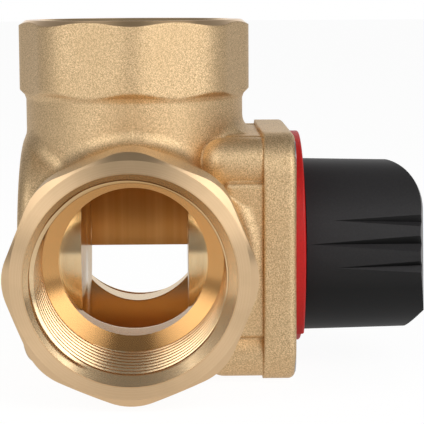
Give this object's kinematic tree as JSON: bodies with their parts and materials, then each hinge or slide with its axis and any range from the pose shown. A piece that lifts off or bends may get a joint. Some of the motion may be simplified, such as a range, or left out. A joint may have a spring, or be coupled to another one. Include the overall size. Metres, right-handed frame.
{
  "type": "three-way mixing valve",
  "caption": "Rotary three-way mixing valve in forged brass, with octagonal threaded ports, a square cover, a red scale plate and a black hand knob.",
  "frame": {"origin": "on the branch port's axis, 1 mm inside its mouth, where the plain bore starts behind the mouth chamfer", "axes": "+Z out of the branch port, Y along the straight run, +X along the rotor axis towards the knob"},
  "size_m": [0.0728, 0.082, 0.0627],
  "materials": {
    "forged_brass": "sand-blasted forged brass, machined at the ports",
    "machined_brass": "turned brass",
    "red_plastic": "smooth red plastic",
    "black_plastic": "fine-grained black plastic",
    "steel": "bright turned steel",
    "seal_rubber": "black rubber",
    "bearing_plastic": "white bearing plastic"
  },
  "bodies": {
    "valve": {"valve_body": "forged_brass", "cover": "forged_brass", "cover_screws": "steel", "cover_seal": "seal_rubber", "shaft_bush": "bearing_plastic", "scale_plate": "red_plastic", "plate_pins": "steel", "stop_pin": "steel"},
    "knob_and_rotor": {"rotor": "machined_brass", "shaft": "steel", "thrust_washer": "bearing_plastic", "inner_shaft_seal": "seal_rubber", "outer_shaft_seal": "seal_rubber", "retaining_ring": "steel", "knob": "black_plastic", "knob_washer": "steel", "knob_screw": "steel", "knob_cap": "black_plastic"}
  },
  "joints": [
    {"name": "knob_turn", "type": "hinge", "parent": "valve", "child": "knob_and_rotor", "pos_m": [0, 0, -0.04], "axis": [1, 0, 0], "range_deg": [-37.7, 52.3]}
  ]
}
